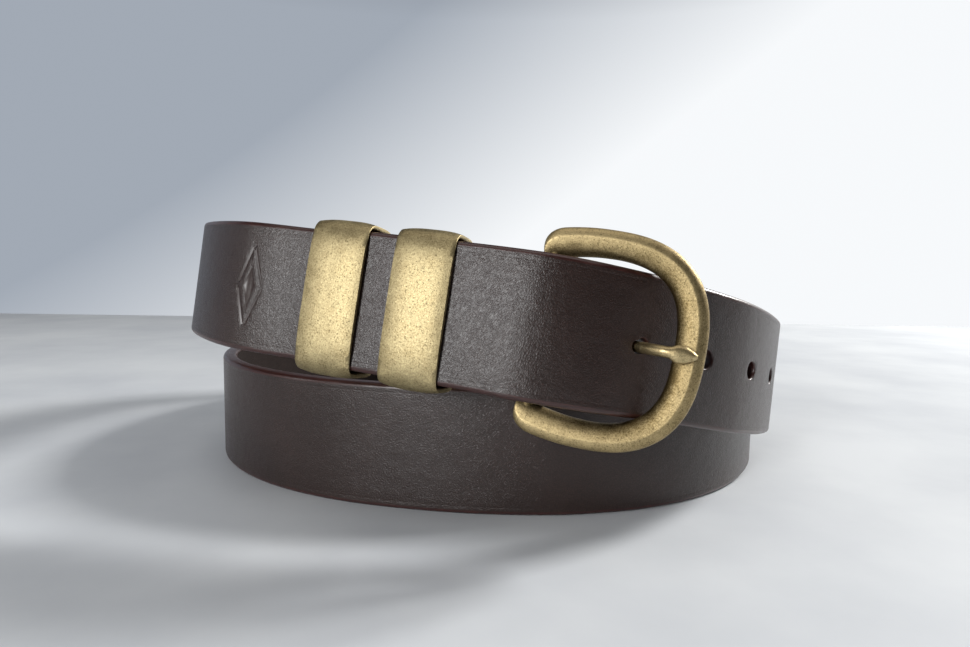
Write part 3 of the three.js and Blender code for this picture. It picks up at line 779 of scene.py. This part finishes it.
def strap_body(materials):
    """The strap as one swept solid with UVs in metres: along the strap, and round its section."""
    section = strap_section()
    stations = thinned(STATIONS, RING_SPACING, RING_TURN)
    size = len(section)
    vertices = []
    for station in stations:
        for across, depth, kind in section:
            vertices.append(station.point(0, across, -depth * station.thickness))
    faces = ring_faces(len(stations), size)
    kinds = [kind for across, depth, kind in section]
    indices = kinds * (len(stations) - 1) + [EDGE, EDGE]
    first = (len(stations) - 1) * size
    faces.append(tuple(range(size - 1, -1, -1)))
    faces.append(tuple(range(first, first + size)))
    piece = new_piece("strap", vertices, faces, materials, indices)

    around = [0]
    for (x0, d0, _), (x1, d1, _) in zip(section, section[1:] + section[:1]):
        around.append(around[-1] + math.hypot(x1 - x0, (d1 - d0) * STRAP_THICKNESS))
    layer = piece.data.uv_layers.new(name="strap")
    for face in range((len(stations) - 1) * size):
        i, j = divmod(face, size)
        corners = ((i, j), (i, j + 1), (i + 1, j + 1), (i + 1, j))
        for loop, (ring, step) in zip(piece.data.polygons[face].loop_indices, corners):
            layer.data[loop].uv = (stations[ring].length * MM, around[step] * MM)
    face_outwards(piece)
    return piece


def hole_cutter(name, station, materials, radius):
    """Punch with flared mouths, which leaves a rounded rim."""
    bottom, soft = -STRAP_THICKNESS, HOLE_ROUNDING
    profile = [(0, PUNCH_ABOVE), (radius + soft + PUNCH_ABOVE_FLARE, PUNCH_ABOVE)]
    steps = 5
    for i in range(steps + 1):
        turn = math.pi / 2 * i / steps
        profile.append((radius + soft * (1 - math.sin(turn)), -soft * (1 - math.cos(turn))))
    profile += [(radius, bottom + 0.2), (radius + 0.2, bottom),
                (radius + PUNCH_BELOW_FLARE, bottom - PUNCH_BELOW), (0, bottom - PUNCH_BELOW)]
    return lathe(name, profile, station, materials, sides=32)


def screw_cutters(materials):
    """A bore and a countersink with a softened mouth through the folded end for each screw."""
    top, low = LAYER_GAP / 2, -FLAP_DEPTH - LAYER_GAP
    bore = POST_RADIUS + FIT_GAP
    head = SCREW_HEAD_RADIUS + FIT_GAP
    profile = [(0, top), (head + 0.2, top), (head + 0.15, 0), (head, -0.2),
               (head, -SCREW_HEAD_HEIGHT), (bore, -SCREW_HEAD_HEIGHT), (bore, low), (0, low)]
    return [lathe(f"screw_hole_{i}", profile, stack_station(distance), materials)
            for i, distance in enumerate(SCREWS_FROM_BAR)]


def prism(name, outline, station, low, high, materials):
    """Straight prism over (along, across) points, between two heights on the out axis."""
    rings = [[station.point(x, y, out) for x, y in outline] for out in (low, high)]
    return tube(name, rings, materials)


def tip_cutters(materials):
    """Trim the free end to a blunt point."""
    half = STRAP_WIDTH / 2 + CUT_MARGIN
    low = -STRAP_THICKNESS - TIP_CUTTER_BELOW
    end = stack_station(TIP_LENGTH, TIP_DEPTH)
    steps = 16
    cutters = []
    for side in (-1, 1):
        outline = []
        for i in range(steps + 1):
            t = i / steps
            bulge = 2 * t * (1 - t)
            x = (1 - t) ** 2 * -CUT_MARGIN + bulge * TIP_BULGE_BACK + t * t * TIP_POINT_LENGTH
            y = bulge * half * TIP_BULGE_ASIDE + t * t * half
            outline.append((x, side * y))
        outline.append((-CUT_MARGIN, side * half))
        cutters.append(prism(f"tip_{side}", outline, end, low, TIP_CUTTER_ABOVE, materials))
    return cutters


def fold_slot_cutter(materials):
    """Slot in the fold that lets the prong turn on the heel bar."""
    half = PRONG_EYE_WIDTH / 2 + SLOT_SIDE_GAP
    reach = FOLD_RADIUS + SLOT_PAST_FOLD
    outline = [(-SLOT_BEHIND_BAR, -reach)]
    steps = 24
    for i in range(steps + 1):
        turn = math.pi * (i / steps - 0.5)
        outline.append((reach * math.cos(turn), reach * math.sin(turn)))
    outline.append((-SLOT_BEHIND_BAR, reach))
    rings = [[HEEL_BAR.point(x, y, z) for x, z in outline] for y in (-half, half)]
    return tube("fold_slot", rings, materials)


def lozenge_corners(size):
    """(along, across) corners of a lozenge, anticlockwise."""
    along, across = size[0] / 2, size[1] / 2
    return [(along, 0), (0, across), (-along, 0), (0, -across)]


def stamp_point(x, y, out):
    """The point at these places along and across the strap from the middle of the stamp."""
    return station_at(STATIONS, FOLD_START - STAMP_FROM_BAR + x).point(0, y, out)


def stamp_groove(name, start, end, materials):
    """A straight flat-bottomed groove in the grain, a little short of the corners at its ends."""
    side = Vector((end[0] - start[0], end[1] - start[1]))
    aside = Vector((-side.y, side.x)).normalized() * STAMP_GROOVE / 2
    section = ((-1, 0.5), (-1, 0.02), (-0.25, -STAMP_DEPTH),
               (0.25, -STAMP_DEPTH), (1, 0.02), (1, 0.5))
    rings = []
    for i in range(STAMP_GROOVE_STEPS + 1):
        part = mix(STAMP_CORNER_GAP, 1 - STAMP_CORNER_GAP, i / STAMP_GROOVE_STEPS)
        x, y = start[0] + side.x * part, start[1] + side.y * part
        rings.append([stamp_point(x + aside.x * k, y + aside.y * k, out) for k, out in section])
    return tube(name, rings, materials)


def stamp_cutters(materials):
    """Four grooves along the sides of a lozenge, and a shallow lozenge panel in the middle."""
    corners = lozenge_corners(STAMP_SIZE)
    cutters = []
    for i, start in enumerate(corners):
        cutters.append(stamp_groove(f"groove_{i}", start, corners[(i + 1) % 4], materials))
    rings = []
    for part, out in ((0.8, -STAMP_PANEL_DEPTH), (1, 0.02), (1.05, 0.5)):
        rings.append([stamp_point(x * part, y * part, out)
                      for x, y in lozenge_corners(STAMP_PANEL_SIZE)])
    return cutters + [tube("stamp_panel", rings, materials)]


def make_strap():
    materials = [grain_leather(), edge_leather(), flesh_leather()]
    walls = [materials[EDGE]]
    strap = strap_body(materials)
    cutters = tip_cutters(walls) + [fold_slot_cutter(walls)] + screw_cutters(walls)
    for i in range(HOLE_COUNT):
        place = station_at(STATIONS, TIP_LENGTH + FIRST_HOLE_FROM_BAR + i * HOLE_SPACING)
        radius = FILLED_HOLE_RADIUS if i == 0 else HOLE_RADIUS
        cutters.append(hole_cutter(f"hole_{i}", place, walls, radius))
    cutters += prong_clearance(walls)
    cutters += stamp_cutters([materials[GRAIN]])
    boolean(strap, cutters)
    finish_piece(shade(strap, 50), "strap", "strap_leather", "leather_strap")


# ---- Buckle --------------------------------------------------------
def arm_offset(x):
    """Distance of an arm's middle line from the middle of the frame."""
    closing = FRAME_ARM_CLOSING * ((FRAME_ARM_STRAIGHT - x) / FRAME_ARM_STRAIGHT) ** 2
    return (FRAME_HEIGHT - FRAME_ARM_WIDTH) / 2 - closing


def rim_half():
    """(x, y, fullness) of the upper half of the rim, from its arm's round end to the front bar."""
    half = (FRAME_HEIGHT - FRAME_ARM_WIDTH) / 2
    points = []
    for i in range(BULB_STEPS + 1):
        turn = math.pi / 2 * i / BULB_STEPS
        x = FRAME_ARM_END + BULB_LENGTH * (1 - math.cos(turn))
        points.append((x, arm_offset(x), max(BULB_SMALLEST, math.sin(turn)) ** BULB_BLUNTNESS))
    start = FRAME_ARM_END + BULB_LENGTH
    for i in range(1, BULB_STEPS):
        x = mix(start, FRAME_ARM_STRAIGHT, i / BULB_STEPS)
        points.append((x, arm_offset(x), 1))
    reach = FRAME_FRONT - FRAME_ARM_STRAIGHT
    power = 2 / FRAME_ROUNDNESS
    for i in range(FRONT_STEPS + 1):
        angle = math.pi / 2 * (1 - i / FRONT_STEPS)
        x = FRAME_ARM_STRAIGHT + reach * max(0, math.cos(angle)) ** power
        points.append((x, half * max(0, math.sin(angle)) ** power, 1))
    return points


def rim_section(steps=4):
    """The profile as a closed smooth curve."""
    controls = [Vector(row) for row in RIM_PROFILE]
    count = len(controls)
    section = []
    for i in range(count):
        before, a, b, after = (controls[(i + k) % count] for k in (-1, 0, 1, 2))
        for k in range(steps):
            section.append(hermite(a, b, (b - before) / 2, (after - a) / 2, k / steps))
    return section


def rim_aside(aside, x, full):
    """Place across the rim for a width of 1: fuller inside, and rounded from there at the end."""
    towards_front = smoothstep(x, 0, FRAME_ARM_STRAIGHT + FULLNESS_BLEND)
    inner = mix(INNER_FULLNESS_ARM, INNER_FULLNESS_FRONT, towards_front)
    if aside < 0:
        aside *= inner
    return (aside + inner / 2) * full - inner / 2


def rim_frames():
    """(x, y, away, width, fullness) round the rim, from the lower arm's end to the upper's."""
    upper = rim_half()
    lower = [(x, -y, full) for x, y, full in upper[:-1]]
    points = lower + upper[::-1]
    last = len(points) - 1
    frames = []
    for i, (x, y, full) in enumerate(points):
        x0, y0, _ = points[max(0, i - 1)]
        x1, y1, _ = points[min(last, i + 1)]
        away = Vector((y1 - y0, x0 - x1)).normalized()
        width = mix(FRAME_ARM_WIDTH, FRAME_WIDTH, max(0, x / FRAME_FRONT) ** 2)
        frames.append((x, y, away, width, full))
    return frames


def heel_bar(place, brass):
    """Round bar between the arms, necked where it runs into them."""
    end = arm_offset(0) - BAR_SINK
    half = [(end, BAR_NECK_RADIUS), (end - BAR_NECK_LENGTH, BAR_NECK_RADIUS),
            (end - BAR_FULL_FROM, BAR_RADIUS)]
    sides = 32
    turns = [math.tau * i / sides for i in range(sides)]
    rings = []
    for across, radius in [(-across, radius) for across, radius in half] + half[::-1]:
        rings.append([place.point(radius * math.cos(turn), across, radius * math.sin(turn))
                      for turn in turns])
    return tube("heel_bar", rings, [brass])


def make_buckle_frame():
    place = buckle_station()
    section = rim_section()
    rings, wear_and_shading = [], []
    for x, y, away, width, full in rim_frames():
        ring = []
        for out, aside, rubbed_and_lit in section:
            shift = away * (rim_aside(aside, x, full) * width)
            height = out * FRAME_THICKNESS / 2 * math.sqrt(full)
            ring.append(place.point(x + shift.x, y + shift.y, height))
            # painted highlight along the ridge and painted shade on the back, with the arms painted
            # brighter than the front bar
            wear_and_shading.append(rubbed_and_lit + ARM_PAINTED_LIGHT * (1 - smoothstep(x, 0, FRAME_FRONT)))
        rings.append(ring)
    brass = antique_brass("buckle_brass", (0.51, 0.40, 0.21), (0.115, 0.080, 0.032),
                          speckle=0.7, smoothest=0.46)
    rim = tube("buckle_rim", rings, [brass])
    set_wear_and_shading(rim, wear_and_shading)
    boolean(rim, [heel_bar(place, brass)], "UNION")
    rim.name = "buckle_horseshoe"
    finish_piece(shade(rim, 50), "buckle", "antique_brass", "buckle_frame")


def set_wear_and_shading(piece, values):
    """Stores how far each vertex is painted brighter or darker, from -1 to 1: wear, painted
    highlights and painted shade.
    """
    layer = piece.data.attributes.new("wear_and_shading", "FLOAT", "POINT")
    layer.data.foreach_set("value", values)


# ---- Prong ---------------------------------------------------------
def prong_points():
    """Middle line in the buckle's along and out: the eye round the bar, then the shaft."""
    eye = BAR_RADIUS + FIT_GAP + PRONG_EYE_THICKNESS / 2
    points = []
    for angle in PRONG_EYE_ANGLES:
        turn = math.radians(angle)
        points.append(Vector((eye * math.cos(turn), 0, eye * math.sin(turn))))
    return points + [Vector((x, 0, z)) for x, z in PRONG_SHAFT]


def prong_size(x, in_eye):
    """Width and thickness of the prong."""
    if in_eye:
        return PRONG_EYE_WIDTH, PRONG_EYE_THICKNESS
    last = len(PRONG_WIDTHS) - 1
    after = max(1, next((i for i, (place, _) in enumerate(PRONG_WIDTHS) if place >= x), last))
    (x0, w0), (x1, w1) = PRONG_WIDTHS[after - 1:after + 1]
    width = mix(w0, w1, min(1, (x - x0) / (x1 - x0)))
    full = min(1, x / PRONG_FULL_THICKNESS_AT)
    thickness = mix(PRONG_EYE_THICKNESS, PRONG_THICKNESS, full)
    return width, min(thickness, width * PRONG_POINT_THICKNESS)


def prong_rings(steps, sides, first=0.0, last=1.0, grow=0.0, turn=0.0):
    """Rings of a stretch of the prong, grown and turned about the heel bar by turn degrees."""
    points = prong_points()
    eye_end = (len(points) - len(PRONG_SHAFT)) / (len(points) - 1)
    place = buckle_station()
    sideways = Vector((0, 1, 0))
    spin = Matrix.Rotation(math.radians(-turn), 3, sideways)
    near = 0.002  # the direction is taken this far to either side
    rings = []
    for i in range(steps + 1):
        t = mix(first, last, i / steps)
        middle = centripetal(points, t)
        along = centripetal(points, min(1, t + near)) - centripetal(points, max(0, t - near))
        station = Station(middle, along, sideways)
        width, thickness = prong_size(max(0, middle.x), t < eye_end)
        ring = []
        for j in range(sides):
            angle = math.tau * (j + 0.5) / sides
            across = math.cos(angle) * (width / 2 + grow)
            out = math.sin(angle) * (thickness / 2 + grow)
            local = spin @ station.point(0, across, out)
            ring.append(place.point(*local))
        rings.append(ring)
    return rings


def prong_clearance(materials):
    """The prong's crank at rest and lifted, grown: what the leather round its hole gives way to."""
    cutters = []
    for i, turn in enumerate(PRONG_WAY_TURNS):
        rings = prong_rings(PRONG_WAY_RINGS, PRONG_WAY_SIDES, *PRONG_WAY_STRETCH, PRONG_WAY, turn)
        cutters.append(tube(f"prong_way_{i}", rings, materials))
    return cutters


def make_prong():
    brass = antique_brass("prong_brass", (0.62, 0.50, 0.275), (0.17, 0.115, 0.05),
                          speckle=0.6, smoothest=0.38)
    prong = tube("prong_tongue", prong_rings(PRONG_RINGS, PRONG_SIDES), [brass])
    set_wear_and_shading(prong, [0.3] * len(prong.data.vertices))
    finish_piece(shade(prong, 50), "prong", "prong_brass", "prong")


# ---- Keepers -------------------------------------------------------
def keeper_inside(half_across, half_out, radius):
    """(across, out) points round the rounded rectangle of the loop's inside."""
    loop = []
    for quarter, (side, face) in enumerate(((1, 1), (-1, 1), (-1, -1), (1, -1))):
        centre = (side * (half_across - radius), face * (half_out - radius))
        for i in range(KEEPER_CORNER_STEPS + 1):
            turn = math.pi / 2 * (quarter + i / KEEPER_CORNER_STEPS)
            loop.append((centre[0] + radius * math.cos(turn), centre[1] + radius * math.sin(turn)))
        (x0, y0), along_top = loop[-1], quarter % 2 == 0
        x1, y1 = (-centre[0], y0) if along_top else (x0, -centre[1])
        for i in range(1, KEEPER_STRAIGHT_STEPS):
            part = i / KEEPER_STRAIGHT_STEPS
            loop.append((mix(x0, x1, part), mix(y0, y1, part)))
    return loop


def keeper_swell(x, z):
    """How many times further out the outer face is, for a place as parts of its half sizes."""
    return (abs(x) ** KEEPER_SQUARENESS + abs(z) ** KEEPER_SQUARENESS) ** (-1 / KEEPER_SQUARENESS)


def keeper_section():
    """(along, thickness, brightness: lighter on the crown and the sides, darker on the inner face)
    of the crowned strip, anticlockwise from its inner face.
    """
    half = KEEPER_LENGTH / 2
    edge = KEEPER_STRIP - KEEPER_CROWN
    crown = [(-half + 0.25, 0, -0.3), (half - 0.25, 0, -0.3), (half - 0.06, 0.1, -0.1),
             (half, 0.3, 0.1), (half, edge - 0.3, 0.25)]
    for i in range(KEEPER_CROWN_STEPS + 1):
        x = 1 - 2 * i / KEEPER_CROWN_STEPS
        height = KEEPER_STRIP - KEEPER_CROWN * abs(x) ** KEEPER_CROWN_POWER
        crown.append((x * (half - 0.12), height, 0.22 - 0.1 * x * x))
    return crown + [(-half, edge - 0.3, 0.25), (-half, 0.3, 0.1), (-half + 0.06, 0.1, -0.1)]


def make_keeper(node, brass):
    depth = KEEPER_INNER_DEPTH / 2 - STRAP_THICKNESS - LAYER_GAP - KEEPER_FACE_GAP
    place = stack_station(KEEPERS_FROM_BAR[node], depth)
    half_across = STRAP_WIDTH / 2 + KEEPER_SLACK
    half_out = KEEPER_INNER_DEPTH / 2
    inside = keeper_inside(half_across, half_out, KEEPER_INNER_CORNER)
    section = keeper_section()
    rings, wear_and_shading = [], []
    for x, z in inside:
        swell = keeper_swell(x / (half_across + KEEPER_STRIP), z / (half_out + KEEPER_STRIP))
        ring = []
        for along, height, rubbed_and_lit in section:
            grown = mix(1, swell, height / KEEPER_STRIP)
            ring.append(place.point(along, x * grown, z * grown))
            wear_and_shading.append(rubbed_and_lit)
        rings.append(ring)
    keeper = tube(f"{node}_loop", rings, [brass], closed_path=True)
    set_wear_and_shading(keeper, wear_and_shading)
    finish_piece(shade(keeper, 50), node, "keeper_brass", node)


# ---- Screws --------------------------------------------------------
def make_post(i, place, brass):
    """Female half: a low domed head between the layers, and a barrel with a blind bore."""
    top = SCREW_HEAD_HEIGHT - SCREW_HEAD_INSET
    seat = -SCREW_HEAD_INSET
    end = -FLAP_DEPTH - POST_PAST_FLAP
    roof = seat - POST_BORE_ROOF
    profile = [(0, top), (1.4, top - 0.02), (SCREW_HEAD_RADIUS - 0.7, top - 0.12),
               (SCREW_HEAD_RADIUS - 0.2, top - 0.32), (SCREW_HEAD_RADIUS, top - 0.55),
               (SCREW_HEAD_RADIUS - 0.05, seat), (POST_RADIUS, seat), (POST_RADIUS, end + 0.15),
               (POST_RADIUS - 0.15, end), (POST_BORE_RADIUS, end), (POST_BORE_RADIUS, roof),
               (0, roof)]
    post = lathe(f"post_{i}", profile, place, [brass])
    set_wear_and_shading(post, [0.1] * len(post.data.vertices))
    finish_piece(shade(post), "strap", "screw_brass", f"screw_post_{i}")


def make_screw(i, place, brass):
    """Male half: a slotted cheese head on the inside of the belt, and a shank."""
    seat = -FLAP_DEPTH - FIT_GAP - POST_PAST_FLAP
    end = -SCREW_HEAD_INSET - SHANK_END
    back = seat - SCREW_HEAD_HEIGHT
    profile = [(0, end), (SHANK_RADIUS - 0.25, end), (SHANK_RADIUS, end - 0.25),
               (SHANK_RADIUS, seat), (SCREW_HEAD_RADIUS - 0.06, seat),
               (SCREW_HEAD_RADIUS, seat - 0.1), (SCREW_HEAD_RADIUS - 0.03, back + 0.38),
               (SCREW_HEAD_RADIUS - 0.22, back + 0.13), (SCREW_HEAD_RADIUS - 0.6, back + 0.02),
               (0, back)]
    screw = lathe(f"screw_head_{i}", profile, place, [brass])
    x, y = SCREW_SLOT_WIDTH / 2, SCREW_SLOT_LENGTH / 2
    outline = [(-x, -y), (x, -y), (x, y), (-x, y)]
    slot = prism(f"slot_{i}", outline, place, back - FIT_GAP, back + SCREW_SLOT_DEPTH, [brass])
    boolean(screw, [slot])
    set_wear_and_shading(screw, [0.1] * len(screw.data.vertices))
    finish_piece(shade(screw), "strap", "screw_brass", f"screw_{i}")


def make_screws():
    brass = antique_brass("screw_brass", (0.56, 0.45, 0.25), (0.18, 0.12, 0.06),
                          speckle=0.5, smoothest=0.42)
    for i, distance in enumerate(SCREWS_FROM_BAR, start=1):
        make_post(i, stack_station(distance), brass)
        make_screw(i, stack_station(distance), brass)


# ---- Stage ---------------------------------------------------------
def floor_material():
    """Pale honed stone, almost plain."""
    n = Surface("pale_floor")
    clouds = n.noise(n.millimetres(), 0.012, detail=5)
    colour = n.ramp(clouds, (0.35, (0.59, 0.62, 0.66)), (0.65, (0.70, 0.73, 0.76)))
    n.inputs(base_color=colour)
    n.constants(roughness=0.55)
    return n.material


def make_floor():
    mesh = bpy.data.meshes.new("floor")
    corners = [(-FLOOR_SIDE, FLOOR_FRONT, 0), (FLOOR_SIDE, FLOOR_FRONT, 0),
               (FLOOR_SIDE, FLOOR_BACK, 0), (-FLOOR_SIDE, FLOOR_BACK, 0)]
    mesh.from_pydata(corners, [], [(0, 1, 2, 3)])
    mesh.materials.append(floor_material())
    floor = bpy.data.objects.new("floor", mesh)
    bpy.context.scene.collection.objects.link(floor)


def area_light(name, position, size, power, colour=(1, 1, 1)):
    """Rectangular light aimed at the belt, of a power in watts."""
    data = bpy.data.lights.new(name, "AREA")
    data.shape = "RECTANGLE"
    data.size, data.size_y = size
    data.energy = power
    data.color = colour
    light = bpy.data.objects.new(name, data)
    light.location = position
    direction = Vector(LIGHTS_AIM) - Vector(position)
    light.rotation_euler = direction.to_track_quat("-Z", "Y").to_euler()
    bpy.context.scene.collection.objects.link(light)


def make_lights():
    area_light("key_right", (1.14, 0.38, 0.80), (0.28, 0.28), 22, (1, 0.98, 0.95))
    area_light("soft_front_left", (-0.46, -0.76, 0.24), (0.16, 0.30), 4.9)
    area_light("soft_left", (-0.72, -0.26, 0.24), (0.12, 0.24), 0.5)
    area_light("soft_top", (0, -0.15, 0.9), (0.9, 0.6), 2.2, (1, 0.97, 0.94))


def make_world():
    """Pale surroundings behind the belt, brighter to the right; a dark room in front and above."""
    world = bpy.data.worlds.new("studio")
    world.use_nodes = True
    n = Nodes(world.node_tree)
    direction = n.add("ShaderNodeTexCoord").outputs["Generated"]
    axes = n.add("ShaderNodeSeparateXYZ")
    n.link(direction, axes.inputs["Vector"])
    x, y, z = axes.outputs
    rightness = n.spread(n.math("MULTIPLY_ADD", z, -1.3, x), -0.55, 0.0)
    colour = n.mix(rightness, (0.36, 0.40, 0.46), (0.93, 0.95, 0.97))
    behind = n.spread(y, -0.15, 0.6, 0.05, 1.0)
    low = n.spread(z, 0.34, 0.6, 1.0, 0.15)
    background = n.tree.nodes["Background"]
    n.link(colour, background.inputs["Color"])
    n.link(n.math("MULTIPLY", behind, low), background.inputs["Strength"])
    bpy.context.scene.world = world
    bpy.context.scene.view_settings.view_transform = "Standard"


def make_camera():
    """Low three-quarter view of the front, close to the belt."""
    pitch, roll = math.radians(CAMERA_PITCH), math.radians(CAMERA_ROLL)
    forward = Vector((0, math.cos(pitch), -math.sin(pitch)))
    level = Vector((1, 0, 0))
    upright = level.cross(forward)
    right = level * math.cos(roll) + upright * math.sin(roll)
    up = upright * math.cos(roll) - level * math.sin(roll)
    data = bpy.data.cameras.new("camera")
    data.sensor_width = 36
    data.lens = CAMERA_LENS
    data.clip_start = 0.01
    camera = bpy.data.objects.new("camera", data)
    axes = Matrix((right, up, -forward)).transposed().to_4x4()
    camera.matrix_world = Matrix.Translation(CAMERA_PLACE) @ axes
    bpy.context.scene.collection.objects.link(camera)
    bpy.context.scene.camera = camera


# ---- Build ---------------------------------------------------------
make_camera()
make_strap()
make_buckle_frame()
make_prong()
keeper_brass = antique_brass("keeper_brass", (0.54, 0.45, 0.255), (0.165, 0.122, 0.055),
                             speckle=0.6, smoothest=0.47)
for node_name in KEEPERS_FROM_BAR:
    make_keeper(node_name, keeper_brass)
make_screws()
make_floor()
make_lights()
make_world()
